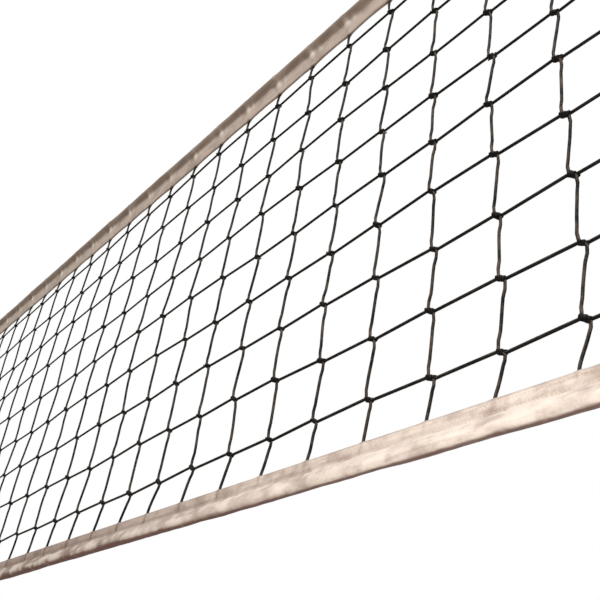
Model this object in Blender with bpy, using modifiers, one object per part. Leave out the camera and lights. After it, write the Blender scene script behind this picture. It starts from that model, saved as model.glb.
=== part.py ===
"""Volleyball net: knotted twine mesh between a canvas top band, a canvas bottom band and two side bands.

The net hangs stretched in the XZ plane. +X runs along the net, +Z is up, and the origin is the middle
of the net's top edge. All lengths are in metres.
"""

import math

import bmesh
import bpy

# Driving dimensions
NET_LENGTH = 9.5
PITCH = 0.1  # knot to knot, along the net and down it
TWINE = 0.0045  # twine diameter
TOP_BAND = 0.078  # height of the top band
BOTTOM_BAND = 0.044  # height of the bottom band
SIDE_BAND = 0.050  # width of each side band
FIRST_ROW_DROP = 0.107  # from the top edge to the first row of knots
ROWS = 9  # rows of knots between the bands
LAST_STUB = 0.058  # from the last row of knots to the bottom band
TOUCH = 0.0003  # gap kept between pieces that touch
CANVAS = 0.003  # two layers of canvas sewn flat

# Worked out from them
BOTTOM_BAND_TOP = -(FIRST_ROW_DROP + (ROWS - 1) * PITCH + LAST_STUB)
SIDE_COLUMN = round((NET_LENGTH / 2 - SIDE_BAND) / PITCH)  # the columns under the side bands
MESH_END = NET_LENGTH / 2 - SIDE_BAND

# How far the knots wander from an even grid, hung by hand
DRIFT_ALONG = 0.0045
DRIFT_DOWN = 0.0035
DRIFT_OUT = 0.0040
SLOW_COLUMN = 0.4  # the net bows out of its plane more slowly than it drifts in it
SLOW_ROW = 0.6
STUB_LEAN = 0.012  # how far the last stretch leans before it enters the bottom band
LEAN_SPREAD = 0.5  # share by which that lean varies

# The two waves of every unevenness: radians for each mesh along the net and down it
NEAR_WAVE = (1.7, 2.9)
FAR_WAVE = (0.61, -1.13)

# Phases that set one kind of unevenness apart from another
PHASE_ALONG = 0.3
PHASE_DOWN = 2.2
PHASE_OUT = 1.1
PHASE_LEAN = 0.9
PHASE_SWELL = 0.7
PHASE_SCALLOP = 1.9
PHASE_LUMP = 0.4
PHASE_SAG = 1.3

# Top band: a teardrop tunnel round the headline, then a flat double hem with a scalloped edge
HEADLINE_TUNNEL = 0.031
HEADLINE_HALF = 0.0090
HEADLINE_PINCH = 1.0
SWELL = 0.10  # share by which the tunnel's thickness varies
SCALLOP = 0.004
SCALLOP_SPREAD = 0.3

# Bottom band: a flat double hem, then a fuller tunnel round the foot rope
HEM = 0.019
ROPE_HALF = 0.0110
ROPE_PINCH = 1.3
LUMP = 0.0012
LUMP_PACE = 0.9  # the lumps follow each other a little more slowly than the netting's unevenness
SAG_PACE = 0.5

TUNNEL_SHARES = (0.0, 0.10, 0.34, 0.68, 1.0)  # places from a tunnel's fold to its seam

SEAM_END = 0.055  # stretch at each end where a tunnel is pressed flat and sewn shut
TOP_STATION = PITCH / 4  # distance between the sections of the top band
BOTTOM_STATION = PITCH / 2  # and of the bottom band
FOLD = 0.0008  # radius of the folded outer edge of a side band
SMOOTH_BELOW = math.radians(40)  # sharper edges than this are shaded as edges

COLOURS = {
    "net_mesh": (0.024, 0.020, 0.017),
    "top_band": (0.36, 0.28, 0.22),
    "bottom_band": (0.65, 0.54, 0.45),
    "side_band": (0.60, 0.52, 0.45),
}


def clear_scene():
    """Remove every object, so that the net is built in an empty scene."""
    for old in list(bpy.data.objects):
        bpy.data.objects.remove(old)


def new_collection(name):
    """Make a collection in the scene."""
    collection = bpy.data.collections.new(name)
    bpy.context.scene.collection.children.link(collection)
    return collection


def cloth_material(name, roughness=0.9):
    """Make the plain, dull finish of twine or canvas."""
    material = bpy.data.materials.new(name)
    material.use_nodes = True
    surface = material.node_tree.nodes["Principled BSDF"]
    surface.inputs["Base Color"].default_value = (*COLOURS[name], 1.0)
    surface.inputs["Roughness"].default_value = roughness
    surface.inputs["Metallic"].default_value = 0.0
    return material


def add_object(name, bm, material, collection):
    """Turn a bmesh into a named object with its material."""
    mesh = bpy.data.meshes.new(name)
    bm.to_mesh(mesh)
    bm.free()
    mesh.materials.append(material)
    piece = bpy.data.objects.new(name, mesh)
    collection.objects.link(piece)
    return piece


def wander(column, row, phase):
    """Give a place's unevenness, from -1 to 1: two waves whose lengths never fall into step."""
    near = math.sin(NEAR_WAVE[0] * column + NEAR_WAVE[1] * row + phase)
    far = math.sin(FAR_WAVE[0] * column + FAR_WAVE[1] * row + 2.0 * phase)
    return 0.5 * (near + far)


def knot(column, row):
    """Give the place of a knot; row -1 lies in the top band and row ROWS in the bottom band."""
    in_band = row in (-1, ROWS)
    x = column * PITCH
    z = -FIRST_ROW_DROP - row * PITCH
    if row == ROWS:
        x -= STUB_LEAN * (1.0 + LEAN_SPREAD * wander(column, row, PHASE_LEAN))
    if in_band:
        return (x, 0.0, z)
    free = math.sin(math.pi * (row + 1) / (ROWS + 1))
    return (
        x + DRIFT_ALONG * wander(column, row, PHASE_ALONG),
        DRIFT_OUT * free * wander(SLOW_COLUMN * column, SLOW_ROW * row, PHASE_OUT),
        z + DRIFT_DOWN * wander(column, row, PHASE_DOWN),
    )


def make_mesh(material, collection, cutters):
    """Lay the netting at its true pitch, keep every second twine, and trim it to the bands."""
    columns = 2 * SIDE_COLUMN
    bm = bmesh.new()
    bmesh.ops.create_grid(bm, x_segments=columns, y_segments=ROWS + 1, size=0.5)
    places = {}
    for vert in bm.verts:
        column = round((vert.co.x + 0.5) * columns) - SIDE_COLUMN
        row = round((0.5 - vert.co.y) * (ROWS + 1)) - 1
        vert.co = knot(column, row)
        if abs(column) == SIDE_COLUMN:
            vert.co.x = math.copysign(NET_LENGTH / 2, column)
        places[vert] = (column, row)

    # The rows and columns of even number are the twines left out of the solid.
    left_out = []
    for edge in bm.edges:
        (column_a, row_a), (column_b, row_b) = (places[vert] for vert in edge.verts)
        along = row_a == row_b and row_a % 2 == 0
        down = column_a == column_b and column_a % 2 == 0
        if along or down:
            left_out.append(edge)
    between = [vert for vert, (column, row) in places.items() if column % 2 == 0 and row % 2]
    bmesh.ops.dissolve_edges(bm, edges=left_out, use_verts=False)
    bmesh.ops.dissolve_verts(bm, verts=[vert for vert in between if vert.is_valid])

    netting = add_object("net_mesh", bm, material, collection)
    strands = netting.modifiers.new("strands", "WIREFRAME")
    strands.thickness = TWINE
    strands.use_even_offset = True
    strands.use_relative_offset = False
    strands.use_boundary = True
    strands.offset = 0.0

    top = -TOP_BAND - TOUCH
    bottom = BOTTOM_BAND_TOP + TOUCH
    bm = bmesh.new()
    bmesh.ops.create_cube(bm, size=1.0)
    for vert in bm.verts:
        vert.co.x *= 2 * (MESH_END - TOUCH)
        vert.co.y *= PITCH
        vert.co.z = (top + bottom) / 2 + vert.co.z * (top - bottom)
    window = add_object("window_between_bands", bm, material, cutters)
    window.display_type = "WIRE"
    window.hide_render = True
    trim = netting.modifiers.new("trim", "BOOLEAN")
    trim.operation = "INTERSECT"
    trim.object = window
    return netting


def make_band(name, section, station, material, collection):
    """Cut a long tube into rings and set each ring to the band's section at its place along the net."""
    sides = len(section(0.0))
    rings = round(NET_LENGTH / station)
    bm = bmesh.new()
    bmesh.ops.create_cone(bm, cap_ends=True, segments=sides, radius1=1.0, radius2=1.0, depth=1.0)
    long_edges = [edge for edge in bm.edges if abs(edge.verts[0].co.z - edge.verts[1].co.z) > 0.5]
    bmesh.ops.subdivide_edges(bm, edges=long_edges, cuts=rings - 1)
    for vert in bm.verts:
        side = round(math.atan2(-vert.co.x, vert.co.y) / (2 * math.pi) * sides) % sides
        x = round((vert.co.z + 0.5) * rings) * station - NET_LENGTH / 2
        y, z = section(x)[side]
        vert.co = (x, y, z)
    if bm.calc_volume(signed=True) < 0.0:
        bmesh.ops.reverse_faces(bm, faces=bm.faces)
    piece = add_object(name, bm, material, collection)
    piece.data.shade_smooth()
    piece.data.set_sharp_from_angle(angle=SMOOTH_BELOW)
    return piece


def both_faces(front):
    """Close a front outline, listed from the top down as (half thickness, height), with its mirror image."""
    ring = [(-half, z) for half, z in front]
    ring += [(half, z) for half, z in reversed(front) if half > 0.0]
    return ring


def tunnel(half, flat, pinch):
    """Give a teardrop tunnel's outline as (half thickness, share of its height), from its fold to its seam.

    The pinch is how hard the canvas is drawn in towards the seam: the more, the nearer the fold it is widest.
    """
    draw = (1.0 + pinch) / 2
    widest = 1.0 / (2.0 + pinch)
    most = math.sqrt(widest) * (1.0 - widest) ** draw
    return [
        ((half - flat) * math.sqrt(share) * (1.0 - share) ** draw / most + flat * share**0.25, share)
        for share in TUNNEL_SHARES
    ]


def fullness(x):
    """Give how full a tunnel is: 0 at the net's ends, where it is sewn shut, and 1 past the end seams."""
    share = min(1.0, (NET_LENGTH / 2 - abs(x)) / SEAM_END)
    return share * share * (3.0 - 2.0 * share)


def top_section(x):
    """Give the top band's outline: the tunnel on the headline above the flat, scalloped hem."""
    cells = x / PITCH
    swell = 1.0 + SWELL * wander(cells, 0.0, PHASE_SWELL)
    between_knots = abs(math.sin(math.pi * cells))
    rise = SCALLOP * between_knots * (1.0 + SCALLOP_SPREAD * wander(cells, 2.0, PHASE_SCALLOP))
    flat = CANVAS / 2
    half = flat + (HEADLINE_HALF * swell - flat) * fullness(x)
    front = [(thick, -share * HEADLINE_TUNNEL) for thick, share in tunnel(half, flat, HEADLINE_PINCH)]
    return both_faces([*front, (flat, rise - TOP_BAND)])


def bottom_section(x):
    """Give the bottom band's outline: the flat hem above the lumpy tunnel on the foot rope."""
    cells = x / PITCH
    lump = LUMP * wander(LUMP_PACE * cells, 1.0, PHASE_LUMP)
    sag = LUMP / 2 * wander(SAG_PACE * cells, 3.0, PHASE_SAG)
    flat = CANVAS / 2
    half = flat + (ROPE_HALF + lump - flat) * fullness(x)
    low = BOTTOM_BAND_TOP - BOTTOM_BAND - sag
    height = BOTTOM_BAND_TOP - HEM - low
    front = [(thick, low + share * height) for thick, share in tunnel(half, flat, ROPE_PINCH)]
    return both_faces([(flat, BOTTOM_BAND_TOP), *reversed(front)])


def make_side_band(name, side, material, collection):
    """Make one side band, a canvas strip folded over the end of the mesh and sewn flat."""
    top = -TOP_BAND - TOUCH
    bottom = BOTTOM_BAND_TOP + TOUCH
    bm = bmesh.new()
    bmesh.ops.create_cube(bm, size=1.0)
    for vert in bm.verts:
        vert.co.x *= SIDE_BAND
        vert.co.y *= CANVAS
        vert.co.z *= top - bottom
    outer = [edge for edge in bm.edges if all(side * vert.co.x > 0.0 for vert in edge.verts)]
    folded = [edge for edge in outer if abs(edge.verts[0].co.z - edge.verts[1].co.z) > SIDE_BAND]
    bmesh.ops.bevel(bm, geom=folded, offset=FOLD, segments=2, profile=0.5, affect="EDGES", material=-1)
    piece = add_object(name, bm, material, collection)
    piece.location = (side * (NET_LENGTH - SIDE_BAND) / 2, 0.0, (top + bottom) / 2)
    return piece


def main():
    """Build the net."""
    clear_scene()
    net = new_collection("volleyball_net")
    cutters = new_collection("cutters")
    make_mesh(cloth_material("net_mesh"), net, cutters)
    make_band("top_band", top_section, TOP_STATION, cloth_material("top_band"), net)
    make_band("bottom_band", bottom_section, BOTTOM_STATION, cloth_material("bottom_band"), net)
    canvas = cloth_material("side_band")
    make_side_band("side_band_left", -1, canvas, net)
    make_side_band("side_band_right", 1, canvas, net)


main()
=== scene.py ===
"""Volleyball net: black knotted twine between weathered canvas bands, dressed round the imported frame.

The net hangs in the XZ plane with +X along it and +Z up. Lengths are in metres unless a name ends in _mm.
"""

import logging
import math
from dataclasses import dataclass
from dataclasses import field
from dataclasses import replace
from enum import Enum

import bmesh
import bpy
from mathutils import Matrix
from mathutils import Vector
from mathutils import noise


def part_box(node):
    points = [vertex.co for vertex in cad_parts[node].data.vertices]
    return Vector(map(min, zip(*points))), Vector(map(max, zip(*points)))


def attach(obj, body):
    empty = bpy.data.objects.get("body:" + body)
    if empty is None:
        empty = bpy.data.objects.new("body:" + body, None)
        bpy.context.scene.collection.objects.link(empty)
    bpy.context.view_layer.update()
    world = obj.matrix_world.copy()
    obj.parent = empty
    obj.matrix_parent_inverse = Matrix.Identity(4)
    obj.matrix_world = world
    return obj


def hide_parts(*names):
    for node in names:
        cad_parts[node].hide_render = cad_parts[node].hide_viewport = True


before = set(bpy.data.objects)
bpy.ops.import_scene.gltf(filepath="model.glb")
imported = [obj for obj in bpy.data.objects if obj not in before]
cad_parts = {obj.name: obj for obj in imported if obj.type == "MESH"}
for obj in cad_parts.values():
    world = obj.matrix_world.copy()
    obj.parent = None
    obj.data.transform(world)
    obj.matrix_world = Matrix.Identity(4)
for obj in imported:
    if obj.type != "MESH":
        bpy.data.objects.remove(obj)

LOG = logging.getLogger("volleyball_net")
MM = 0.001
PITCH = 0.1  # from one twine of the netting to the next
ROWS = 9  # rows of twine; the row of this number would lie in the bottom band
FOOT_LEAN = 0.012  # how far a column's last stretch leans along the net
NEAR_WAVE = (1.7, 2.9)  # pace of the quicker unevenness, for each mesh along and down
FAR_WAVE = (0.61, -1.13)  # pace of the slower one
BETWEEN = (0.25, 0.5, 0.75)  # where a twine bends between two knots

Place = tuple[float, float]
Ends = tuple[Vector, Vector]
Tint = tuple[float, float, float, float]
Tree = bpy.types.NodeTree
Socket = bpy.types.NodeSocket
Inputs = dict[str | int, object]


class Face(Enum):
    """The two faces of a folded band, by the sign of their Y."""

    FRONT = -1
    BACK = 1


def linear(colour: str) -> Tint:
    """Turn an sRGB hex colour to the linear one that a shader reads.

    Args:
        colour: Six hex digits, such as "8c7a6b".

    Returns:
        Red, green, blue and an alpha of one.
    """
    parts = [int(colour[i : i + 2], 16) / 255 for i in (0, 2, 4)]
    bent = [c / 12.92 if c <= 0.04045 else ((c + 0.055) / 1.055) ** 2.4 for c in parts]
    return (*bent, 1.0)


def smooth(low: float, high: float, value: float) -> float:
    """Ease from 0 at low to 1 at high, or the other way where high is below low."""
    share = min(1.0, max(0.0, (value - low) / (high - low)))
    return share * share * (3.0 - 2.0 * share)


def hump(distance: float, width: float) -> float:
    """Give the height, from 1 down to 0, of a soft ridge at a distance from its crest."""
    return math.exp(-((distance / width) ** 2))


def teardrop(turn: float, pinch: float) -> float:
    """Give a tunnel's half thickness as a share of its greatest, the same as in the frame's solids.

    Args:
        turn: 0 at the tunnel's fold and pi at its seam.
        pinch: How hard the canvas is drawn in towards the seam.

    Returns:
        The share, 0 at both ends.
    """
    widest = 1.0 / (2.0 + pinch)
    most = math.sqrt(widest) * (1.0 - widest) ** ((1.0 + pinch) / 2)
    return math.sin(turn / 2) * max(0.0, math.cos(turn / 2)) ** (1.0 + pinch) / most


@dataclass(frozen=True)
class Drift:
    """One way in which the net is uneven. The larger ones are the same as in the frame's solids."""

    size: float
    phase: float  # sets it apart from the others
    column_pace: float = 1.0
    row_pace: float = 1.0

    def at(self, column: float, row: float) -> float:
        """Give the drift, from -size to size.

        Args:
            column: Place along the net, in meshes.
            row: Place down the net, in meshes.

        Returns:
            The drift there.
        """
        along = self.column_pace * column
        down = self.row_pace * row
        near = math.sin(NEAR_WAVE[0] * along + NEAR_WAVE[1] * down + self.phase)
        far = math.sin(FAR_WAVE[0] * along + FAR_WAVE[1] * down + 2.0 * self.phase)
        return self.size * (0.5 * (near + far))


@dataclass(frozen=True)
class Grain:
    """Smooth noise over a canvas strip."""

    along: float  # cells to a metre
    across: float  # cells from fold to edge
    seed: float = 0.0  # sets it apart from the others
    apart: float = 0.0  # how far apart the two faces are read
    size: float = 1.0

    def at(self, run: float, share: float, side: float = 0.0) -> float:
        """Give the noise, from about -size to size; side is -1 or 1 where two faces or ends differ."""
        place = Vector((self.along * run, self.across * share, self.seed + self.apart * side))
        return self.size * noise.noise(place)


@dataclass(frozen=True)
class Patch:
    """A soft round patch, such as a bump or a stain, placed from a thing beside it."""

    wide: float
    tall: float
    most: float = 1.0
    along: float = 0.0
    down: float = 0.0

    def at(self, along: float, down: float) -> float:
        """Give the patch's strength at a distance along and down from that thing."""
        return self.most * hump(along - self.along, self.wide) * hump(down - self.down, self.tall)


FOOT_SPREAD = Drift(0.5, 0.9)


def foot_shift(column: int) -> float:
    """Give how far towards -X of its column a twine enters the bottom band."""
    return FOOT_LEAN * (1.0 + FOOT_SPREAD.at(column, ROWS))


def add_node(tree: Tree, kind: str, inputs: Inputs | None = None, **settings: object) -> bpy.types.Node:
    """Add a node with its settings and links.

    Args:
        tree: The tree that takes the node.
        kind: Blender's name for the node's type, without its ShaderNode prefix.
        inputs: Values for its inputs, by name or number; an output socket is linked.
        settings: Properties of the node.

    Returns:
        The new node.
    """
    node = tree.nodes.new("ShaderNode" + kind)
    for name, value in settings.items():
        setattr(node, name, value)
    for name, value in (inputs or {}).items():
        if isinstance(value, Socket):
            tree.links.new(value, node.inputs[name])
        else:
            node.inputs[name].default_value = value
    return node


@dataclass(frozen=True)
class Finish:
    """One material, named for what it is made of."""

    name: str

    def dress(self, tree: Tree) -> Inputs:
        """Draw the patterns, and give the inputs of the surface that shows them."""
        raise NotImplementedError

    def make(self) -> bpy.types.Material:
        """Make the material.

        Returns:
            The material.
        """
        material = bpy.data.materials.new(self.name)
        material.use_nodes = True
        tree = material.node_tree
        tree.nodes.clear()
        skin = add_node(tree, "BsdfPrincipled", self.dress(tree))
        add_node(tree, "OutputMaterial", {"Surface": skin.outputs["BSDF"]})
        return material


@dataclass(frozen=True)
class Blotches:
    """Soft blotches of one size on cloth."""

    size_mm: float
    low: float  # noise value where a blotch starts
    high: float  # and where it is full
    most: float  # share of its colour in a full one

    def draw(self, tree: Tree, place: Socket) -> Socket:
        """Draw the blotches.

        Args:
            tree: The material's tree.
            place: The strip's own coordinates, in millimetres.

        Returns:
            The blotches, from 0 to 1.
        """
        inputs = {"Vector": place, "Scale": 1.0 / self.size_mm, "Detail": 4.0, "Roughness": 0.6}
        cloud = add_node(tree, "TexNoise", inputs, noise_dimensions="2D").outputs["Fac"]
        inputs = {"Value": cloud, "From Min": self.low, "From Max": self.high}
        return add_node(tree, "MapRange", inputs, interpolation_type="SMOOTHSTEP").outputs["Result"]


@dataclass(frozen=True)
class CottonCanvas(Finish):
    """Cotton duck, plain woven and left outdoors.

    It is matt and a little fuzzy. Sun and rain bleach the threads on folds that stand proud, where a painted
    highlight is laid as well, and dust and damp settle along the seams, in hollows and on undersides, with
    painted shade.
    """

    half_cut: float  # from the strip's fold to a sewn edge, in metres
    clean: str
    bleach_and_highlight_tint: str
    soil_and_shade_tint: str
    damp: str
    grime_and_shade_tint: str = "572a22"  # what soil above 1 darkens to: ground-in grime and painted shade on the bottom band's underside
    fold_dirt_and_shade: float = 0.0  # how dark the line along the fold is, from 0 to 1: dirt and painted shade
    edge_dirt_and_shade: float = 0.2  # the same for the sewn edges: dirt and a painted rim shadow
    fold_reach_mm: float = 6.0
    fold_sway_mm: float = 3.0  # that line wanders up to so far behind the fold
    fold_sway_size_mm: float = 25.0
    edge_reach_mm: float = 3.5
    line_core: float = 0.3  # share of a line's reach where it is darkest
    clouds: Blotches = Blotches(55.0, 0.42, 0.72, 0.45)
    flecks: Blotches = Blotches(9.0, 0.50, 0.80, 0.20)
    streaks: Blotches = Blotches(7.0, 0.45, 0.75, 0.28)
    streak_pull: float = 0.12  # a streak's width for its length
    stains: Blotches = Blotches(24.0, 0.56, 0.80, 0.30)
    grime_and_shade_most: float = 0.9
    wear_and_highlight_most: float = 0.9
    roughness: float = 0.93
    sheen: float = 0.12
    thread_mm: float = 1.6  # a real thread is half as wide; drawn coarser so that it shows
    weave_height_mm: float = 0.10
    weave_painted_shade: Place = (0.90, 1.03)  # painted shade between the threads and painted highlight on them

    def weave(self, tree: Tree, place: Socket) -> Socket:
        """Draw the over and under of warp and weft.

        Args:
            tree: The material's tree.
            place: The strip's own coordinates, in millimetres.

        Returns:
            The height of the weave, from 0 to 1.
        """
        scale = 2.0 * math.pi / (20.0 * self.thread_mm)  # the node draws 20 / (2 pi) bands to a unit
        inputs = {"Vector": place, "Scale": scale, "Distortion": 0.6, "Detail": 1.0}
        warp = add_node(tree, "TexWave", inputs, bands_direction="X").outputs["Fac"]
        weft = add_node(tree, "TexWave", inputs, bands_direction="Y").outputs["Fac"]
        return add_node(tree, "Math", {0: warp, 1: weft}, operation="MAXIMUM").outputs["Value"]

    def lines(self, tree: Tree, place: Socket) -> list[Socket]:
        """Draw the lines of dirt and painted shade along the fold and along the sewn edges.

        Args:
            tree: The material's tree.
            place: The strip's own coordinates, in millimetres.

        Returns:
            The line along the fold and the lines along the edges, each from 0 to 1.
        """
        across = add_node(tree, "SeparateXYZ", {0: place}).outputs["Y"]
        inputs = {"Vector": place, "Scale": 1.0 / self.fold_sway_size_mm}
        cloud = add_node(tree, "TexNoise", inputs, noise_dimensions="2D").outputs["Fac"]
        inputs = {0: cloud, 1: self.fold_sway_mm, 2: across}
        swayed = add_node(tree, "Math", inputs, operation="MULTIPLY_ADD").outputs["Value"]
        edge_mm = self.half_cut / MM
        drawn = []
        for value, outer, inner in (
            (swayed, self.fold_reach_mm, self.line_core * self.fold_reach_mm),
            (across, edge_mm - self.edge_reach_mm, edge_mm - self.line_core * self.edge_reach_mm),
        ):
            away = add_node(tree, "Math", {0: value}, operation="ABSOLUTE").outputs["Value"]
            inputs = {"Value": away, "From Min": outer, "From Max": inner}
            line = add_node(tree, "MapRange", inputs, interpolation_type="SMOOTHSTEP")
            drawn.append(line.outputs["Result"])
        return drawn

    def dress(self, tree: Tree) -> Inputs:
        """Draw dirt, wear and weave by the strip's UV map and its attributes of wear with painted highlight,
        and of soil with painted shade.

        Args:
            tree: The material's tree.

        Returns:
            The inputs of the cloth's surface.
        """
        strip = add_node(tree, "UVMap", uv_map="strip").outputs["UV"]
        inputs = {"Vector": strip, "Scale": (1.0 / MM, 1.0 / MM, 1.0)}
        place = add_node(tree, "Mapping", inputs).outputs["Vector"]
        inputs = {"Vector": place, "Scale": (self.streak_pull, 1.0, 1.0)}
        drawn = add_node(tree, "Mapping", inputs).outputs["Vector"]
        wear_and_highlight = add_node(tree, "Attribute", attribute_name="wear_and_highlight").outputs["Fac"]
        soil_and_shade = add_node(tree, "Attribute", attribute_name="soil_and_shade").outputs["Fac"]
        # Soil above 1, found only on the bottom band's underside, turns to grime and painted shade.
        grime_and_underside_shade = add_node(tree, "Math", {0: soil_and_shade, 1: 1.0}, operation="SUBTRACT").outputs["Value"]
        fold, edge = self.lines(tree, place)

        # Each layer mixes in a colour: the soil layer is dirt and painted shade, the wear layer bleaching
        # and a painted highlight.
        colour = linear(self.clean)
        for share, tint, most in (
            (self.clouds.draw(tree, place), self.soil_and_shade_tint, self.clouds.most),
            (self.flecks.draw(tree, place), self.soil_and_shade_tint, self.flecks.most),
            (self.streaks.draw(tree, drawn), self.soil_and_shade_tint, self.streaks.most),
            (soil_and_shade, self.soil_and_shade_tint, 1.0),
            (grime_and_underside_shade, self.grime_and_shade_tint, self.grime_and_shade_most),
            (fold, self.grime_and_shade_tint, self.fold_dirt_and_shade),
            (edge, self.soil_and_shade_tint, self.edge_dirt_and_shade),
            (self.stains.draw(tree, place), self.damp, self.stains.most),
            (wear_and_highlight, self.bleach_and_highlight_tint, self.wear_and_highlight_most),
        ):
            amount = add_node(tree, "Math", {0: share, 1: most}, operation="MULTIPLY").outputs["Value"]
            inputs = {0: amount, 6: colour, 7: linear(tint)}
            colour = add_node(tree, "Mix", inputs, data_type="RGBA").outputs[2]

        # The weave scales the colour: painted shade between the threads, painted highlight on them.
        weave = self.weave(tree, place)
        low, high = self.weave_painted_shade
        painted_groove_shade = add_node(tree, "MapRange", {"Value": weave, "To Min": low, "To Max": high})
        inputs = {0: colour, "Scale": painted_groove_shade.outputs["Result"]}
        threads = add_node(tree, "VectorMath", inputs, operation="SCALE")
        inputs = {"Height": weave, "Distance": self.weave_height_mm * MM, "Strength": 0.8}
        return {
            "Base Color": threads.outputs["Vector"],
            "Roughness": self.roughness,
            "Sheen Weight": self.sheen,
            "Sheen Roughness": 0.6,
            "Specular IOR Level": 0.25,
            "Normal": add_node(tree, "Bump", inputs).outputs["Normal"],
        }


@dataclass(frozen=True)
class KnottedTwine(Finish):
    """Polyethylene twine, twisted from fine filaments and dyed black.

    The twist shows as slanting ridges with a dull gleam and painted shade between the strands. Dust lies on
    what faces up and browns it a little, and the same mask paints light on the upper faces.
    """

    clean: str
    # dust, and painted light on the upper faces
    dust_and_toplight_tint: str
    roughness: float = 0.6
    gleam: float = 0.18
    twist_mm: float = 3.2  # one turn of one strand
    ridge_mm: float = 0.14
    ridge_painted_shade: Place = (0.65, 1.15)  # painted shade between the strands and painted highlight on them
    dust_size_mm: float = 18.0
    dust_and_toplight_range: Place = (0.30, 0.70)  # where dust and painted top light start and where they are full

    def dress(self, tree: Tree) -> Inputs:
        """Draw the strands, with painted shade between them, and the dust, with painted light on upward
        faces, by Object coordinates.

        Args:
            tree: The material's tree.

        Returns:
            The inputs of the plastic's surface.
        """
        spot = add_node(tree, "TexCoord").outputs["Object"]
        inputs = {"Vector": spot, "Scale": (1.0 / MM, 1.0 / MM, 1.0 / MM)}
        place = add_node(tree, "Mapping", inputs).outputs["Vector"]
        scale = 2.0 * math.pi / (10.0 * math.sqrt(2.0) * self.twist_mm)  # diagonal bands are coarser
        inputs = {"Vector": place, "Scale": scale}
        twist = add_node(tree, "TexWave", inputs, bands_direction="DIAGONAL").outputs["Fac"]
        inputs = {"Vector": place, "Scale": 1.0 / self.dust_size_mm, "Detail": 5.0, "Roughness": 0.65}
        dust = add_node(tree, "TexNoise", inputs).outputs["Fac"]
        # Upward faces take this colour: dust, and painted light as if falling from above.
        facing = add_node(tree, "NewGeometry").outputs["Normal"]
        upward = add_node(tree, "SeparateXYZ", {0: facing}).outputs["Z"]
        dust_and_toplight_share = add_node(tree, "Math", {0: upward, 1: 0.5, 2: dust}, operation="MULTIPLY_ADD")
        low, high = self.dust_and_toplight_range
        inputs = {"Value": dust_and_toplight_share.outputs["Value"], "From Min": low, "From Max": high}
        share = add_node(tree, "MapRange", inputs, interpolation_type="SMOOTHSTEP").outputs["Result"]
        inputs = {0: share, 6: linear(self.clean), 7: linear(self.dust_and_toplight_tint)}
        colour = add_node(tree, "Mix", inputs, data_type="RGBA").outputs[2]
        # The twist scales the colour: painted shade between the strands, painted highlight on them.
        low, high = self.ridge_painted_shade
        painted_groove_shade = add_node(tree, "MapRange", {"Value": twist, "To Min": low, "To Max": high})
        inputs = {0: colour, "Scale": painted_groove_shade.outputs["Result"]}
        strands = add_node(tree, "VectorMath", inputs, operation="SCALE")
        inputs = {"Height": twist, "Distance": self.ridge_mm * MM, "Strength": 0.9}
        return {
            "Base Color": strands.outputs["Vector"],
            "Roughness": self.roughness,
            "Specular IOR Level": self.gleam,
            "Normal": add_node(tree, "Bump", inputs).outputs["Normal"],
        }


@dataclass(frozen=True)
class SewingThread(Finish):
    """Spun polyester thread: a soft, slightly glossy cord, paler than the canvas that it holds."""

    clean: str
    faded: str
    roughness: float = 0.7
    fade_mm: float = 71.4  # size of a faded patch

    def dress(self, tree: Tree) -> Inputs:
        """Fade the thread in soft patches, by Object coordinates.

        Args:
            tree: The material's tree.

        Returns:
            The inputs of the thread's surface.
        """
        spot = add_node(tree, "TexCoord").outputs["Object"]
        inputs = {"Vector": spot, "Scale": 1.0 / (self.fade_mm * MM), "Detail": 3.0}
        age = add_node(tree, "TexNoise", inputs).outputs["Fac"]
        inputs = {0: age, 6: linear(self.clean), 7: linear(self.faded)}
        colour = add_node(tree, "Mix", inputs, data_type="RGBA").outputs[2]
        return {"Base Color": colour, "Roughness": self.roughness, "Sheen Weight": 0.2}


@dataclass(frozen=True)
class PaleFloor(Finish):
    """Sealed pale concrete, trowelled smooth, with a faint cloudiness and no pattern."""

    light: str
    dark: str
    roughness: float = 0.8
    cloud_mm: float = 1430.0  # size of a cloudy patch

    def dress(self, tree: Tree) -> Inputs:
        """Cloud the concrete, by Object coordinates.

        Args:
            tree: The material's tree.

        Returns:
            The inputs of the floor's surface.
        """
        spot = add_node(tree, "TexCoord").outputs["Object"]
        inputs = {"Vector": spot, "Scale": 1.0 / (self.cloud_mm * MM), "Detail": 6.0}
        cloud = add_node(tree, "TexNoise", inputs).outputs["Fac"]
        inputs = {0: cloud, 6: linear(self.dark), 7: linear(self.light)}
        colour = add_node(tree, "Mix", inputs, data_type="RGBA").outputs[2]
        return {"Base Color": colour, "Roughness": self.roughness, "Specular IOR Level": 0.2}


def new_mesh(name: str, bm: bmesh.types.BMesh) -> bpy.types.Mesh:
    """Turn a bmesh to a mesh, and free it.

    Args:
        name: Name of the mesh.
        bm: The bmesh.

    Returns:
        The mesh.
    """
    mesh = bpy.data.meshes.new(name)
    bm.to_mesh(mesh)
    bm.free()
    return mesh


def add_piece(name: str, mesh: bpy.types.Mesh, material: bpy.types.Material) -> bpy.types.Object:
    """Put a finished mesh in the scene, shaded smooth, at the origin.

    Args:
        name: The piece's name.
        mesh: Its mesh, already in place.
        material: Its finish.

    Returns:
        The new object.
    """
    mesh.name = name
    mesh.materials.clear()
    mesh.materials.append(material)
    mesh.shade_smooth()
    piece = bpy.data.objects.new(name, mesh)
    bpy.context.scene.collection.objects.link(piece)
    return piece


def hand_over(piece: bpy.types.Object, slot: str, node: str | None = None) -> None:
    """Fasten a piece to the net, and report it with its material slot.

    Args:
        piece: The finished piece.
        slot: The slot that its finish belongs to, which is only logged.
        node: The solid that the piece stands for, if it stands for one.
    """
    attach(piece, "root")
    if node:
        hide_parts(node)
    triangles = sum(len(face.vertices) - 2 for face in piece.data.polygons)
    LOG.info("%s: %d triangles before modifiers, slot %s", piece.name, triangles, slot)


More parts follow.
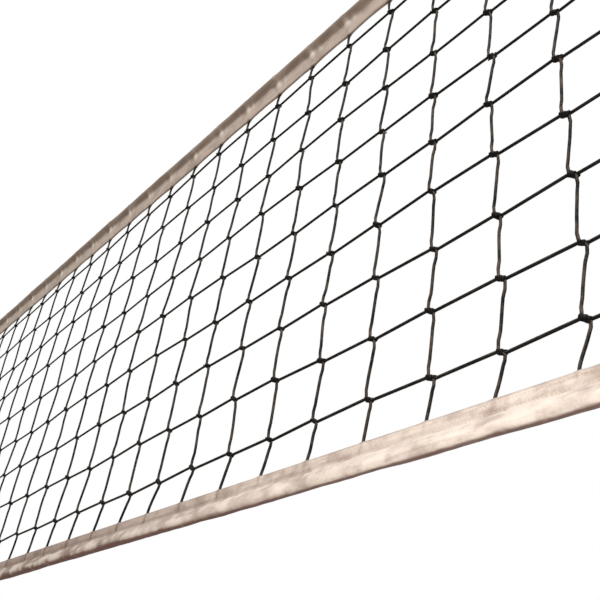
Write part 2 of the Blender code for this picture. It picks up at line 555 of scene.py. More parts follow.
@dataclass
class Netting:
    """The square mesh of twine, tied at every crossing."""

    side_column: int = 47  # the columns run from minus this to this
    first_row_drop: float = 0.107
    twine: float = 0.0046
    along: Drift = Drift(0.0045, 0.3)  # how far knots stray along the net
    down: Drift = Drift(0.0035, 2.2)
    out: Drift = Drift(0.0040, 1.1, 0.4, 0.6)
    knot_reach: Place = (0.0060, 0.0027)  # how far a row's twine steps along and down through a knot
    knot_drop: Place = (0.0042, 0.0055)  # the same for a column's twine
    row_bow: Drift = Drift(0.00056, 4.1)
    sway: Drift = Drift(0.0017, 0.5, 1.3, 2.1)  # S-bend of a column's twine between two knots
    bow: Drift = Drift(0.0014, 2.7, 0.8, 1.7)
    bow_out: float = 0.8  # how far that twine bows out of the net for its bow along it
    tuck: float = 0.004  # how far twine runs on inside a band
    weld: float = 0.01 * MM
    knot_turns: float = 2.25
    knot_steps: int = 12
    knot_length: float = 0.0115
    knot_wind: float = 0.0040
    knot_twine: float = 0.58  # radius of the wound twine, as a share of the twine's width
    knot_flat: float = 0.92
    knot_tilt: float = math.radians(33.0)
    tilt_spread: Drift = Drift(0.35, 3.3)
    roll: Drift = Drift(math.pi, 0.2, 2.3, 1.9)
    size_spread: Drift = Drift(0.12, 5.2, 1.1, 2.7)

    def knot(self, column: int, row: int) -> Vector:
        """Give the place of a knot, the same as in the frame's solid.

        Args:
            column: Counted from the middle of the net.
            row: Counted down from 0; -1 lies in the top band and ROWS in the bottom band.

        Returns:
            The knot's centre.
        """
        x = column * PITCH
        z = -self.first_row_drop - row * PITCH
        if row == ROWS:
            x -= foot_shift(column)
        if row in (-1, ROWS):
            return Vector((x, 0.0, z))
        free = math.sin(math.pi * (row + 1) / (ROWS + 1))
        stray = (self.along.at(column, row), free * self.out.at(column, row), self.down.at(column, row))
        return Vector((x + stray[0], stray[1], z + stray[2]))

    def through(self, column: int, row: int, step: Place) -> list[Vector]:
        """Give a twine's points through a knot: a step before its centre, there, and a step after."""
        aside = Vector((step[0], 0.0, -step[1]))
        return [self.knot(column, row) + way * aside for way in (-1, 0, 1)]

    def row_path(self, row: int) -> list[Vector]:
        """Give the line of a row's twine, which steps down through each knot and climbs between them.

        Args:
            row: The row, counted down from 0.

        Returns:
            The points that the twine follows.
        """
        path = []
        for column in range(-self.side_column, self.side_column + 1):
            tied = self.through(column, row, self.knot_reach)
            if path:
                last = path[-1]
                bend = self.row_bow.at(column, row)
                for share in BETWEEN:
                    give = bend * math.sin(math.pi * share)
                    path.append(last.lerp(tied[0], share) + Vector((0.0, give, give)))
            path += tied
        return path[1:-1]

    def column_path(self, column: int, top: float, bottom: float) -> list[Vector]:
        """Give the line of one column's twine, from inside the top band to inside the bottom band.

        Args:
            column: Counted from the middle of the net.
            top: Height of the top band's lower edge.
            bottom: Height of the bottom band's upper edge.

        Returns:
            The points that the twine follows.
        """
        x = column * PITCH
        path = [Vector((x, 0.0, top + self.tuck)), Vector((x, 0.0, top))]
        for row in range(ROWS):
            tied = self.through(column, row, self.knot_drop)
            if row:
                path += self.swayed(path[-1], tied[0], column, row)
            path += tied
        enter = Vector((self.knot(column, ROWS).x, 0.0, bottom))
        path += self.swayed(path[-1], enter, column, ROWS)
        return path + [enter, enter + Vector((0.0, 0.0, -self.tuck))]

    def swayed(self, start: Vector, end: Vector, column: int, row: int) -> list[Vector]:
        """Give the points between two knots of a slack twine, bent in a soft S.

        Args:
            start: Where the twine leaves the upper knot.
            end: Where it enters the next.
            column: The twine's column.
            row: The row that it runs down to.

        Returns:
            The points between start and end.
        """
        slack = (end - start).length / PITCH
        sway = slack * self.sway.at(column, row)
        bow = slack * self.bow.at(column, row)
        points = []
        for share in BETWEEN:
            arch = math.sin(math.pi * share)
            aside = sway * math.sin(2.0 * math.pi * share) + bow * arch
            points.append(start.lerp(end, share) + Vector((aside, self.bow_out * bow * arch, 0.0)))
        return points

    def tubes(self, name: str, paths: list[list[Vector]], slack: bool) -> bpy.types.Mesh:
        """Sweep a round twine along each path.

        Args:
            name: Name of the mesh.
            paths: A list of points for each twine.
            slack: Whether the twine bends softly through its points, or runs taut from each to the next.

        Returns:
            One mesh with a closed tube for each path.
        """
        line = bpy.data.curves.new(name + "_line", "CURVE")
        line.dimensions = "3D"
        line.resolution_u = 2 if slack else 1
        line.bevel_depth = self.twine / 2
        line.bevel_resolution = 1
        line.use_fill_caps = True
        bend = "AUTO" if slack else "VECTOR"
        for path in paths:
            spline = line.splines.new("BEZIER")
            spline.bezier_points.add(len(path) - 1)
            for point, spot in zip(spline.bezier_points, path):
                point.co = spot
                point.handle_left_type = bend
                point.handle_right_type = bend
        holder = bpy.data.objects.new(name + "_line", line)
        bpy.context.scene.collection.objects.link(holder)
        graph = bpy.context.evaluated_depsgraph_get()
        swept = bpy.data.meshes.new_from_object(holder.evaluated_get(graph))
        bpy.data.objects.remove(holder)
        bpy.data.curves.remove(line)
        bm = bmesh.new()
        bm.from_mesh(swept)
        bpy.data.meshes.remove(swept)
        bmesh.ops.remove_doubles(bm, verts=bm.verts, dist=self.weld)
        return new_mesh(name, bm)

    def knot_form(self) -> bpy.types.Mesh:
        """Wind one knot: a short coil of twine round the slanting line where row and column cross.

        Returns:
            The knot, centred on the origin.
        """
        bm = bmesh.new()
        ring = bmesh.ops.create_circle(bm, cap_ends=True, segments=5, radius=self.knot_twine * self.twine)
        half = Vector((self.knot_length / 2, 0.0, 0.0))
        place = Matrix.Translation(Vector((0.0, 0.0, self.knot_wind)) - half)
        bmesh.ops.transform(bm, matrix=place, verts=ring["verts"])
        bmesh.ops.spin(
            bm,
            geom=bm.verts[:] + bm.edges[:] + bm.faces[:],
            cent=-half,
            axis=Vector((1.0, 0.0, 0.0)),
            dvec=Vector((self.knot_length / self.knot_steps, 0.0, 0.0)),
            angle=2.0 * math.pi * self.knot_turns,
            steps=self.knot_steps,
        )
        bmesh.ops.recalc_face_normals(bm, faces=bm.faces)
        return new_mesh("knot_form", bm)

    def knots(self) -> bpy.types.Mesh:
        """Tie a knot at every crossing between the bands, each a little different.

        Returns:
            One mesh with every knot.
        """
        form = self.knot_form()
        bm = bmesh.new()
        for column in range(1 - self.side_column, self.side_column):
            for row in range(ROWS):
                tilt = self.knot_tilt * (1.0 + self.tilt_spread.at(column, row))
                size = 1.0 + self.size_spread.at(column, row)
                turned = form.copy()
                turned.transform(Matrix.Rotation(self.roll.at(column, row), 4, "X"))
                turned.transform(Matrix.Diagonal((size, size, self.knot_flat * size, 1.0)))
                turned.transform(Matrix.Rotation(tilt, 4, "Y"))
                turned.transform(Matrix.Translation(self.knot(column, row)))
                bm.from_mesh(turned)
                bpy.data.meshes.remove(turned)
        bpy.data.meshes.remove(form)
        return new_mesh("knots", bm)

    def build(self, slack: bpy.types.Material, pulled: bpy.types.Material) -> None:
        """Build the rows, the columns and the knots, which together stand for the solid mesh.

        Args:
            slack: The twine's finish.
            pulled: Its finish where it is pulled tight in a knot.
        """
        low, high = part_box("net_mesh")
        inner = range(1 - self.side_column, self.side_column)
        rows = [self.row_path(row) for row in range(ROWS)]
        columns = [self.column_path(column, high.z, low.z) for column in inner]
        for name, mesh, finish in (
            ("row_twines", self.tubes("row_twines", rows, slack=False), slack),
            ("column_twines", self.tubes("column_twines", columns, slack=True), slack),
            ("knots", self.knots(), pulled),
        ):
            hand_over(add_piece(name, mesh, finish), "twine", "net_mesh")


@dataclass
class CanvasStrip:
    """A canvas strip, folded lengthwise and sewn to itself, that stands for one solid.

    A place on it is given by run, in metres along it, and by share: 0 on the fold, 1 on the sewn edge.
    """

    name: str
    node: str
    slot: str
    canvas: float = 0.0012  # thickness of one layer
    turns: int = 11  # lines on each face, from fold to edge
    step: float = 0.005  # between the strip's cross lines, on average
    crowd: float = 0.5  # how much closer they stand at the twines than on average
    stitch: float = 0.005  # from one stitch to the next
    stitch_reach: float = 0.38  # half the length of a stitch, as a share of that
    stitch_lift_mm: float = 0.1
    stitches_spared: int = 2  # how many fewer a seam has than would fill it
    seams: tuple[float, ...] = ()  # shares where a line of stitches runs
    low: Vector = field(init=False)
    high: Vector = field(init=False)
    start: float = field(init=False)
    length: float = field(init=False)
    half_cut: float = field(init=False)  # from the fold to a sewn edge

    def __post_init__(self) -> None:
        """Take the strip's place and size from its solid."""
        self.low, self.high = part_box(self.node)
        self.measure()

    def measure(self) -> None:
        """Work out where the strip's run starts, how long it is and how wide it was cut."""
        raise NotImplementedError

    def spot(self, run: float, share: float, face: Face, lift: float = 0.0) -> Vector:
        """Give a point of the folded strip's outer surface, or at a lift above it."""
        raise NotImplementedError

    def wear_and_highlight(self, run: float, share: float, face: Face) -> float:
        """Give how bleached the canvas is at a place, with any painted highlight, from 0 to 1."""
        raise NotImplementedError

    def soil_and_shade(self, run: float, share: float, face: Face) -> float:
        """Give how dirty the canvas is, with any painted shade, at a place, from 0 to 1, or up to 2 where
        grime and painted shade are deepest.
        """
        raise NotImplementedError

    def strip(self) -> bpy.types.Mesh:
        """Lay the strip out as a grid, fold it, and note wear with painted highlight, soil with painted
        shade, and its own coordinates.

        Returns:
            The folded mesh, one layer without thickness.
        """
        bm = bmesh.new()
        cells = round(self.length / self.step)
        bmesh.ops.create_grid(bm, x_segments=cells, y_segments=2 * self.turns, size=0.5)
        wear_and_highlight = bm.verts.layers.float.new("wear_and_highlight")
        soil_and_shade = bm.verts.layers.float.new("soil_and_shade")
        flat = bm.loops.layers.uv.new("strip")
        laid = {}
        for vert in bm.verts:
            even = self.start + (vert.co.x + 0.5) * self.length
            run = even - self.crowd * PITCH / math.tau * math.sin(math.tau * even / PITCH)
            across = 2.0 * vert.co.y
            face = Face.FRONT if across > 0.0 else Face.BACK
            share = abs(across)
            laid[vert.index] = (run, across * self.half_cut)
            vert[wear_and_highlight] = self.wear_and_highlight(run, share, face)
            vert[soil_and_shade] = self.soil_and_shade(run, share, face)
            vert.co = self.spot(run, share, face)
        for piece in bm.faces:
            for loop in piece.loops:
                loop[flat].uv = laid[loop.vert.index]
        bm.normal_update()
        outer = sum(piece.normal.y for piece in bm.faces if piece.calc_center_median().y < 0.0)
        if outer > 0.0:
            bmesh.ops.reverse_faces(bm, faces=bm.faces)
        return new_mesh(self.name, bm)

    def build(self, cloth: bpy.types.Material) -> None:
        """Build the folded strip in place of its solid.

        Args:
            cloth: The canvas's finish.
        """
        piece = add_piece(self.name, self.strip(), cloth)
        wall = piece.modifiers.new("canvas", "SOLIDIFY")
        wall.thickness = self.canvas
        wall.offset = -1.0
        hand_over(piece, self.slot, self.node)
        LOG.info("%s: cut %.3f m wide and %.2f m long", piece.name, 2.0 * self.half_cut, self.length)

    def stitches(self) -> list[Ends]:
        """List the stitches of every seam.

        Returns:
            The two ends of each stitch.
        """
        reach = self.stitch_reach * self.stitch
        lift = self.stitch_lift_mm * MM
        count = int((self.length - self.stitches_spared * self.stitch) / self.stitch)
        middles = [self.start + self.stitch * (i + 1) for i in range(count)]
        return [
            (self.spot(run - reach, seam, face, lift), self.spot(run + reach, seam, face, lift))
            for seam in self.seams
            for face in Face
            for run in middles
        ]


@dataclass
class FoldedBand(CanvasStrip):
    """A band folded over a rope: its run is the x of the net, and a tunnel holds the rope."""

    sewn: float = 0.003  # thickness of the sewn hem
    pinch: float = 1.0  # how hard the canvas is drawn in towards the tunnel's seam
    seam_end: float = 0.055  # stretch pressed flat and sewn shut at each end
    nudge: float = 0.004  # share over which the outline's slope is read
    cut_steps: int = 200
    top: float = field(init=False)
    bottom: float = field(init=False)

    def measure(self) -> None:
        """Work out the band's run, and its cut width from its outline."""
        self.length = self.high.x - self.low.x
        self.start = -self.length / 2
        self.top = self.high.z
        self.bottom = self.low.z
        line = [Vector(self.outline(0.0, i / self.cut_steps)) for i in range(self.cut_steps + 1)]
        self.half_cut = sum((b - a).length for a, b in zip(line, line[1:]))

    def outline(self, x: float, share: float) -> Place:
        """Give the half thickness and the height of the band at a place."""
        raise NotImplementedError

    def relief(self, x: float, share: float, face: Face) -> float:
        """Give how far creases and lumps stand out at a place."""
        raise NotImplementedError

    def fullness(self, x: float) -> float:
        """Give how full the tunnel is: 0 where its ends are sewn shut and 1 between them."""
        return smooth(0.0, self.seam_end, self.length / 2 - abs(x))

    def tunnel(self, x: float, turn: float, widest: float) -> float:
        """Give the tunnel's half thickness.

        Args:
            x: Place along the net.
            turn: 0 at the tunnel's fold and pi at its seam.
            widest: Its greatest half thickness there.

        Returns:
            The half thickness, that of the flat hem at the seam.
        """
        flat = self.sewn / 2
        full = (widest - flat) * self.fullness(x)
        return full * teardrop(turn, self.pinch) + flat * math.sin(turn / 2) ** 0.5

    def folds_at_top(self) -> bool:
        """Say whether the fold is the band's upper edge."""
        return self.outline(0.0, 0.0)[1] > self.outline(0.0, 1.0)[1]

    def spot(self, run: float, share: float, face: Face, lift: float = 0.0) -> Vector:
        """Give a point of the band's outer surface.

        Args:
            run: Place along the net.
            share: Place from fold to edge.
            face: Front or back.
            lift: Height above the surface.

        Returns:
            The point.
        """
        half, height = self.outline(run, share)
        half_a, height_a = self.outline(run, max(0.0, share - self.nudge))
        half_b, height_b = self.outline(run, min(1.0, share + self.nudge))
        slope = Vector((half_b - half_a, height_b - height_a)).normalized()
        out = Vector((slope.y, -slope.x))
        if slope.y < 0.0 or self.folds_at_top():
            out = -out
        rise = lift + self.relief(run, share, face)
        return Vector((run, face.value * (half + rise * abs(out.x)), height + rise * out.y))


@dataclass
class TopBand(FoldedBand):
    """The top band: a teardrop tunnel on the headline, and a flat hem with a scalloped edge below it."""

    tunnel_depth: float = 0.031
    tunnel_half: float = 0.009
    tunnel_share: float = 0.5
    seams: tuple[float, ...] = (0.53, 0.90)
    scallop: float = 0.004
    scallop_power: float = 0.7  # below 1, the arches between the twines are blunt
    scallop_spread: Drift = Drift(0.3, 1.9)
    swell: Drift = Drift(0.10, 0.7)
    lean: float = 0.35  # how far a crease leans along the net for its height
    lashing_depth: float = 0.040  # of the lashing hidden at each twine's head
    lashing_shift: float = 0.006
    stray_along: Drift = Drift(0.004, 2.4)
    stray_down: Drift = Drift(0.004, 1.3)
    crease_height: float = 0.0032
    crease_spread: Drift = Drift(0.25, 0.8)
    bump: Patch = Patch(0.0065, 0.0105)  # over a lashing
    ridge: Patch = Patch(0.004, 0.010, 0.45, along=0.017)  # beside it
    ridge_stray: Drift = Drift(0.005, 2.0)
    notch: Patch = Patch(0.004, 0.006, 0.5, along=-0.004, down=-0.034)  # at the fold above it
    # painted shadow beside each bump, with dirt
    hollow_dirt_and_shade: Patch = Patch(0.007, 0.010, 1.1, along=-0.013, down=-0.010)
    tent: Patch = Patch(0.006, 0.011, 0.0017)  # how far the hem stands off where twine enters it
    mouth: Patch = Patch(0.004, 0.005, 0.9)  # dirt in the same place
    ripple: Grain = Grain(28.0, 5.0, apart=3.0, size=0.0005)
    gathers: Grain = Grain(75.0, 6.0, 2.0, 1.0, size=0.0006)
    gathers_reach: float = 0.16
    bulk: Grain = Grain(9.0, 2.0, 7.0, 1.0, size=0.0008)
    wear_patches: Grain = Grain(60.0, 12.0, 1.0, size=0.4)
    soil_patches: Grain = Grain(22.0, 3.0, 4.0, 1.0, size=0.5)
    ragged: Grain = Grain(45.0, 3.0, 6.0, 1.0, size=0.05)
    tunnel_soil_and_shade: Place = (0.62, 0.60)  # dirt and painted shade on the tunnel's underside: everywhere, and added in a dark patch
    tunnel_rim: Place = (0.62, 0.38)  # shares between which that dirt and painted shade set in
    fold_soil_and_shade: float = 0.40  # share of it left on the fold
    fold_rim: Place = (0.05, 0.30)

    def edge(self, x: float) -> float:
        """Give the depth of the scalloped lower edge: it dips where a column of twine enters.

        Args:
            x: Place along the net.

        Returns:
            The depth below the band's top.
        """
        cells = x / PITCH
        arch = abs(math.sin(math.pi * cells)) ** self.scallop_power
        return self.top - self.bottom - self.scallop * arch * (1.0 + self.scallop_spread.at(cells, 2.0))

    def outline(self, x: float, share: float) -> Place:
        """Give the half thickness and height: the tunnel up to half the share, then the hem.

        Args:
            x: Place along the net.
            share: Place from fold to edge.

        Returns:
            The half thickness and the height.
        """
        if share <= self.tunnel_share:
            turn = math.pi * share / self.tunnel_share
            half = self.tunnel(x, turn, self.tunnel_half * (1.0 + self.swell.at(x / PITCH, 0.0)))
            return half, self.top - self.tunnel_depth * (1.0 - math.cos(turn)) / 2
        down = (share - self.tunnel_share) / (1.0 - self.tunnel_share)
        depth = self.tunnel_depth + (self.edge(x) - self.tunnel_depth) * down
        return self.sewn / 2, self.top - depth

    def lashing(self, x: float, share: float, face: Face) -> Place:
        """Give the place, along and down, relative to the lashing hidden at the nearest twine's head.

        Args:
            x: Place along the net.
            share: Place from fold to edge.
            face: Front or back.

        Returns:
            How far along and how far down from that lashing.
        """
        column = round(x / PITCH)
        down = self.top - self.outline(x, share)[1]
        along = x - column * PITCH + self.lean * (self.lashing_depth - down)
        return (
            along + self.lashing_shift + self.stray_along.at(column, face.value),
            down - self.lashing_depth - self.stray_down.at(column, face.value),
        )

    def crease(self, x: float, share: float, face: Face) -> float:
        """Give the height, from 0 to 1, of the bump over each lashing and of the crease beside it.

        Args:
            x: Place along the net.
            share: Place from fold to edge.
            face: Front or back.

        Returns:
            The height.
        """
        column = round(x / PITCH)
        strength = 0.75 + self.crease_spread.at(column, face.value)
        along, down = self.lashing(x, share, face)
        ridge = self.ridge.at(along - self.ridge_stray.at(column, 7.0), down)
        return strength * (self.bump.at(along, down) + ridge + self.notch.at(along, down))

    def relief(self, x: float, share: float, face: Face) -> float:
        """Give how far the hem's tents, the creases and the canvas's own ripples stand out.

        Args:
            x: Place along the net.
            share: Place from fold to edge.
            face: Front or back.

        Returns:
            How far they stand out together.
        """
        aside = x - round(x / PITCH) * PITCH
        above = self.outline(x, share)[1] - self.bottom
        ripple = self.ripple.at(x, share, face.value)
        gathers = self.gathers.at(x, share, face.value) * hump(share - self.tunnel_share, self.gathers_reach)
        bulk = self.bulk.at(x, share, face.value) * (share < self.tunnel_share)
        rough = self.fullness(x) * (ripple + gathers + bulk)
        return self.tent.at(aside, above) + self.crease_height * self.crease(x, share, face) + rough

    def wear_and_highlight(self, run: float, share: float, face: Face) -> float:
        """Give how bleached the bumps and creases are, with a painted highlight on them."""
        patch = 0.6 + self.wear_patches.at(run, share)
        return min(1.0, 2.2 * self.crease(run, share, face) * patch)

    def soil_and_shade(self, run: float, share: float, face: Face) -> float:
        """Give how dark the tunnel, the twines' mouths and the hollows by the bumps are: dirt, with painted
        shade on the tunnel's underside and a painted shadow in the hollows.

        Args:
            run: Place along the strip.
            share: Place from fold to edge.
            face: Front or back.

        Returns:
            The dirt and painted shade, from 0 to 1.
        """
        aside = run - round(run / PITCH) * PITCH
        above = self.outline(run, share)[1] - self.bottom
        patch = 0.5 + self.soil_patches.at(run, share, face.value)
        ragged = share + self.ragged.at(run, 1.0, face.value)
        fold_fade = self.fold_soil_and_shade + (1.0 - self.fold_soil_and_shade) * smooth(*self.fold_rim, share)
        # The tunnel's underside: dirt and painted shade.
        tunnel = (self.tunnel_soil_and_shade[0] + self.tunnel_soil_and_shade[1] * patch) * smooth(*self.tunnel_rim, ragged)
        # Beside each bump: dirt and a painted shadow.
        hollow_dirt_and_shade = self.hollow_dirt_and_shade.at(*self.lashing(run, share, face)) * (0.4 + 0.6 * patch)
        return min(1.0, tunnel * fold_fade + self.mouth.at(aside, above) + hollow_dirt_and_shade)


@dataclass
class BottomBand(FoldedBand):
    """The bottom band: a flat hem above a round, lumpy tunnel on the foot rope."""

    hem: float = 0.019
    rope_half: float = 0.0110
    pinch: float = 1.3
    tube_share: float = 0.64
    seams: tuple[float, ...] = (0.69, 0.90)
    lump: Drift = Drift(0.0012, 0.4, 0.9)
    sag: Drift = Drift(0.0006, 1.3, 0.5)
    tent: Patch = Patch(0.006, 0.009, 0.0015)  # how far the hem stands off where twine enters it
    pucker: float = 0.0007  # depth of the hem's crease under each twine
    slant: float = 0.3  # how far that crease leans along the net for its height
    broad_lumps: Grain = Grain(21.0, 2.0, apart=2.0)
    fine_lumps: Grain = Grain(64.0, 6.0, apart=4.0, size=0.7)
    lump_height: float = 0.0005
    bulges: Grain = Grain(13.0, 2.0, 5.0, 1.0, size=0.0010)
    wrinkles: Grain = Grain(110.0, 4.0, 9.0, size=0.0005)
    lightest_at: float = 0.45  # a place where the band is lightest
    lightest_every: float = 2.7  # and the length from one such place to about the next

    def outline(self, x: float, share: float) -> Place:
        """Give the half thickness and height: round the rope first, then up the hem.

        Args:
            x: Place along the net.
            share: Place from fold to edge.

        Returns:
            The half thickness and the height.
        """
        cells = x / PITCH
        seam = self.top - self.hem
        if share <= self.tube_share:
            turn = math.pi * share / self.tube_share
            low = self.bottom + self.lump.size / 2 - self.sag.at(cells, 3.0)
            half = self.tunnel(x, turn, self.rope_half + self.lump.at(cells, 1.0))
            return half, low + (seam - low) * (1.0 - math.cos(turn)) / 2
        up = (share - self.tube_share) / (1.0 - self.tube_share)
        return self.sewn / 2, seam + self.hem * up

    def mouth(self, x: float) -> float:
        """Give the distance along the net to the nearest twine that enters the hem.

        Args:
            x: Place along the net.

        Returns:
            The distance, above 0 where that twine is towards -X.
        """
        near = round(x / PITCH)
        places = [column * PITCH - foot_shift(column) for column in (near - 1, near, near + 1)]
        return min((x - place for place in places), key=abs)

    def lumps(self, x: float, share: float, face: Face) -> float:
        """Give the tube's lumps, from about -1 to 1: the canvas is cockled over the rope's strands."""
        return self.broad_lumps.at(x, share, face.value) + self.fine_lumps.at(x, share, face.value)

    def relief(self, x: float, share: float, face: Face) -> float:
        """Give how far the hem's tents, the pucker under each twine and the tube's lumps stand out.

        Args:
            x: Place along the net.
            share: Place from fold to edge.
            face: Front or back.

        Returns:
            How far they stand out together.
        """
        aside = self.mouth(x)
        below = self.top - self.outline(x, share)[1]
        tents = self.tent.at(aside, below)
        under = hump(aside + self.slant * below - 0.004, 0.0025) * smooth(0.005, 0.012, below)
        pucker = self.pucker * under * (share > self.tube_share)
        tube = smooth(self.tube_share, 0.85 * self.tube_share, share)
        lumps = self.lump_height * self.lumps(x, share, face) + self.bulges.at(x, share, face.value)
        wrinkles = hump(share - 0.95 * self.tube_share, 0.10) * self.wrinkles.at(x, share)
        return tents + self.fullness(x) * (tube * lumps + wrinkles - pucker)

    def age(self, x: float) -> float:
        """Give how much darker the band is at a place, from 0 where it is lightest to 1 midway between such
        places.
        """
        turn = 2.0 * math.pi * (x - self.lightest_at) / self.lightest_every
        return (0.5 - 0.5 * math.cos(turn) * (0.8 + 0.2 * math.cos(0.37 * turn))) ** 1.3

    def wear_and_highlight(self, run: float, share: float, face: Face) -> float:
        """Give how bleached the tube's proud lumps are, with a painted highlight on them.

        Args:
            run: Place along the strip.
            share: Place from fold to edge.
            face: Front or back.

        Returns:
            The wear and painted highlight, from 0 to 1.
        """
        tube = smooth(self.tube_share, 0.9 * self.tube_share, share) * smooth(0.10, 0.22, share)
        lump_wear_and_highlight = 0.20 + 0.80 * smooth(-0.05, 0.4, self.lumps(run, share, face))
        return tube * lump_wear_and_highlight * (1.0 - 0.3 * self.age(run))

    def soil_and_shade(self, run: float, share: float, face: Face) -> float:
        """Give how dark the underside, the seam, the twines' mouths and the tube's hollows are: dirt, with
        painted shade on the underside, below each mouth and in the hollows.

        Args:
            run: Place along the strip.
            share: Place from fold to edge.
            face: Front or back.

        Returns:
            The dirt and painted shade, from 0 to 1, or more where the underside's grime and painted shade
            are deepest.
        """
        below = self.top - self.outline(run, share)[1]
        age = self.age(run)
        hem = smooth(self.tube_share - 0.03, self.tube_share + 0.03, share)
        spread = hem * (0.10 + 0.56 * age) + (1.0 - hem) * 0.44 * age
        # Along the underside fold: grime and painted shade.
        underside_grime_and_shade = (0.45 + 1.2 * age) * smooth(0.09 + 0.15 * age, 0.03, share)
        seam = 0.20 * hump(share - self.tube_share - 0.07, 0.05)
        # Below each twine's mouth: dirt and a painted shadow of the twine.
        mouth = hump(self.mouth(run) + self.slant * below, 0.0022) * smooth(0.026, 0.006, below)
        # In the tube's hollows between lumps: dirt and painted shade.
        hollow_dirt_and_shade = (0.06 + 0.40 * age) * smooth(0.10, -0.35, self.lumps(run, share, face)) * (1.0 - hem)
        return min(1.0, spread + seam + (0.22 + 0.45 * age) * mouth + hollow_dirt_and_shade) + underside_grime_and_shade


@dataclass
class SideBand(CanvasStrip):
    """A plain canvas strip folded over one end of the mesh and sewn flat: its run is the way down."""

    turns: int = 8
    step: float = 0.006
    crowd: float = 0.0
    stitch_lift_mm: float = 0.2
    stitches_spared: int = 1
    seam_inset: float = 0.006  # from the strip's inner edge to its stitches
    fold: float = 0.16  # share that goes round the fold
    ripple: Grain = Grain(18.0, 3.0, apart=11.0, size=0.0004)

    def measure(self) -> None:
        """Work out the strip's run, its cut width and where its seam lies."""
        self.length = self.high.z - self.low.z
        self.start = 0.0
        self.half_cut = self.high.x - self.low.x
        self.seams = (1.0 - self.seam_inset / self.half_cut,)

    def spot(self, run: float, share: float, face: Face, lift: float = 0.0) -> Vector:
        """Give a point of the strip's outer surface.

        Args:
            run: Distance down from the top.
            share: Place from the outer fold, 0, to the inner edge, 1.
            face: Front or back.
            lift: Height above the surface.

        Returns:
            The point.
        """
        outward = math.copysign(1.0, self.high.x + self.low.x)
        half = (self.high.y - self.low.y) / 2
        if share < self.fold:
            turn = math.pi / 2 * share / self.fold
            inset = half * (1.0 - math.cos(turn))
            thick = half * math.sin(turn)
        else:
            inset = half + (self.half_cut - half) * (share - self.fold) / (1.0 - self.fold)
            thick = half
        z = self.high.z - run
        outer = self.high.x if outward > 0.0 else -self.low.x
        rise = (self.ripple.at(z, share, outward) + lift) * smooth(0.0, self.fold, share)
        return Vector((outward * (outer - inset), face.value * (thick + rise), z))

    def wear_and_highlight(self, run: float, share: float, face: Face) -> float:
        """Give how bleached the outer fold is."""
        return 0.5 * hump(share - 0.08, 0.08)

    def soil_and_shade(self, run: float, share: float, face: Face) -> float:
        """Give how soiled the sewn edge is."""
        return 0.5 * hump(share - 1.0, 0.05)


@dataclass
class Stitching:
    """The lines of lockstitch that close one strip."""

    name: str
    slot: str
    thread: float = 0.0009
    lot: int = 24  # stitches built together, since one big mesh is slow to add to

    def build(self, ends: list[Ends], finish: bpy.types.Material) -> None:
        """Build one small spindle for each stitch.

        Args:
            ends: The two ends of each stitch.
            finish: The thread's finish.
        """
        seams = bmesh.new()
        for first in range(0, len(ends), self.lot):
            lot = bmesh.new()
            for start, end in ends[first : first + self.lot]:
                run = end - start
                turn = run.to_track_quat("Z", "Y").to_matrix().to_4x4()
                shape = Matrix.Diagonal((self.thread / 2, self.thread / 2, run.length / 2, 1.0))
                place = Matrix.Translation((start + end) / 2) @ turn @ shape
                bmesh.ops.create_uvsphere(lot, u_segments=4, v_segments=2, radius=1.0, matrix=place)
            part = new_mesh("lot", lot)
            seams.from_mesh(part)
            bpy.data.meshes.remove(part)
        hand_over(add_piece(self.name, new_mesh(self.name, seams), finish), self.slot)


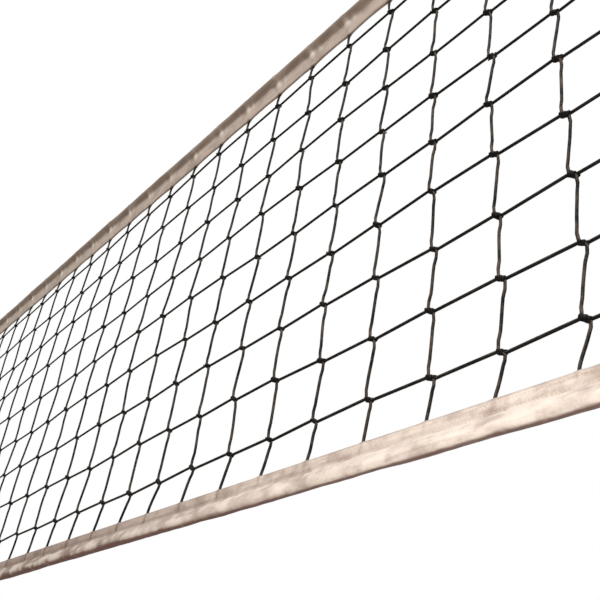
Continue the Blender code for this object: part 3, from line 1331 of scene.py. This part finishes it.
@dataclass
class Studio:
    """A pale floor, soft lights and a camera that looks up along the net."""

    net_height: float = 2.43  # official height of the top edge above the floor
    floor_size: float = 60.0
    lens: float = 43.16
    camera_place: tuple[float, float, float] = (0.6685, -0.6165, -1.3567)
    yaw: float = math.radians(48.77)
    tilt: float = math.radians(26.32)
    roll: float = math.radians(5.55)
    shift_y: float = 0.2
    ambient: float = 0.32

    def floor(self) -> None:
        """Lay the floor."""
        bm = bmesh.new()
        place = Matrix.Translation((0.0, 0.0, -self.net_height))
        bmesh.ops.create_grid(bm, x_segments=1, y_segments=1, size=self.floor_size / 2, matrix=place)
        finish = PaleFloor("sealed_concrete", light="efedea", dark="e2dfdb")
        add_piece("floor", new_mesh("floor", bm), finish.make())

    def sky(self) -> None:
        """Surround the net with white, and light it softly from all round."""
        world = bpy.data.worlds.new("studio")
        bpy.context.scene.world = world
        world.use_nodes = True
        tree = world.node_tree
        tree.nodes.clear()
        white = add_node(tree, "Background", {"Color": linear("ffffff"), "Strength": 1.0}).outputs[0]
        soft = add_node(tree, "Background", {"Color": linear("fbf8f4"), "Strength": self.ambient}).outputs[0]
        seen = add_node(tree, "LightPath").outputs["Is Camera Ray"]
        both = add_node(tree, "MixShader", {0: seen, 1: soft, 2: white})
        add_node(tree, "OutputWorld", {"Surface": both.outputs["Shader"]})

    def lamp(self, name: str, kind: str, place: Vector, aim: Vector, settings: dict[str, object]) -> None:
        """Add a light.

        Args:
            name: The light's name.
            kind: Blender's type of light.
            place: Where it stands.
            aim: Where it points.
            settings: Its size, energy and colour.
        """
        light = bpy.data.lights.new(name, kind)
        for key, value in settings.items():
            setattr(light, key, value)
        holder = bpy.data.objects.new(name, light)
        bpy.context.scene.collection.objects.link(holder)
        turn = (aim - place).to_track_quat("-Z", "Y").to_matrix().to_4x4()
        holder.matrix_world = Matrix.Translation(place) @ turn

    def camera(self) -> None:
        """Set the camera below the net, close to it, looking up along it."""
        lens = bpy.data.cameras.new("camera")
        lens.sensor_width = 36.0
        lens.lens = self.lens
        lens.shift_y = self.shift_y
        lens.clip_start = 0.01
        holder = bpy.data.objects.new("camera", lens)
        bpy.context.scene.collection.objects.link(holder)
        turn = (
            Matrix.Rotation(self.yaw, 4, "Z")
            @ Matrix.Rotation(math.pi / 2 + self.tilt, 4, "X")
            @ Matrix.Rotation(self.roll, 4, "Z")
        )
        holder.matrix_world = Matrix.Translation(self.camera_place) @ turn
        bpy.context.scene.camera = holder

    def build(self) -> None:
        """Build the studio."""
        bpy.context.scene.view_settings.view_transform = "Standard"
        self.floor()
        self.sky()
        self.camera()
        high = {"energy": 1.6, "angle": math.radians(30.0), "color": (1.0, 0.97, 0.93)}
        near = {
            "energy": 9.0,
            "shape": "SQUARE",
            "size": 0.8,
            "color": (1.0, 0.96, 0.91),
            "spread": math.radians(110.0),
        }
        self.lamp("high_softbox", "SUN", Vector((2.0, -3.0, 6.5)), Vector((0.0, 0.0, 0.0)), high)
        self.lamp("near_softbox", "AREA", Vector((1.1, -1.3, -1.5)), Vector((0.3, 0.0, -1.0)), near)


def main() -> None:
    """Build the net's pieces in order."""
    logging.basicConfig(level=logging.INFO, format="%(name)s: %(message)s")
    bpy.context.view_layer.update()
    top = TopBand("top_band_canvas", "top_band", "top_canvas")
    bottom = BottomBand("bottom_band_canvas", "bottom_band", "bottom_canvas")
    left = SideBand("side_band_left_canvas", "side_band_left", "side_canvas")
    right = SideBand("side_band_right_canvas", "side_band_right", "side_canvas")
    tan = CottonCanvas(
        "cotton_duck_tan",
        top.half_cut,
        clean="cebdb1",
        bleach_and_highlight_tint="f6eadd",
        soil_and_shade_tint="7c695c",
        damp="9f968e",
        # the dark line along the hem's lower edge is dirt and a painted rim shadow
        edge_dirt_and_shade=0.8,
    )
    cream = CottonCanvas(
        "cotton_duck_cream",
        bottom.half_cut,
        clean="ecdfd5",
        bleach_and_highlight_tint="f2e5db",
        soil_and_shade_tint="6a4839",
        damp="b9ab9d",
        # the dark line along the tube's underside fold is grime and painted shade
        fold_dirt_and_shade=0.85,
        edge_dirt_and_shade=0.1,
    )
    plain = CottonCanvas(
        "cotton_duck_plain",
        left.half_cut,
        clean="d8c3b0",
        bleach_and_highlight_tint="ecdccb",
        soil_and_shade_tint="a08a7a",
        damp="b3aaa1",
    )
    twine = KnottedTwine("black_polyethylene_twine", clean="090807", dust_and_toplight_tint="5a5048")
    pulled = replace(twine, name="black_twine_pulled_tight", dust_and_toplight_tint="2c2621")

    Studio().build()
    Netting().build(twine.make(), pulled.make())
    side_cloth = plain.make()
    thread = SewingThread("polyester_thread", clean="e4d6c6", faded="cdbca8").make()
    for band, cloth in ((top, tan.make()), (bottom, cream.make()), (left, side_cloth), (right, side_cloth)):
        band.build(cloth)
        Stitching(band.name.replace("canvas", "stitching"), band.slot).build(band.stitches(), thread)


if __name__ == "__main__":
    main()
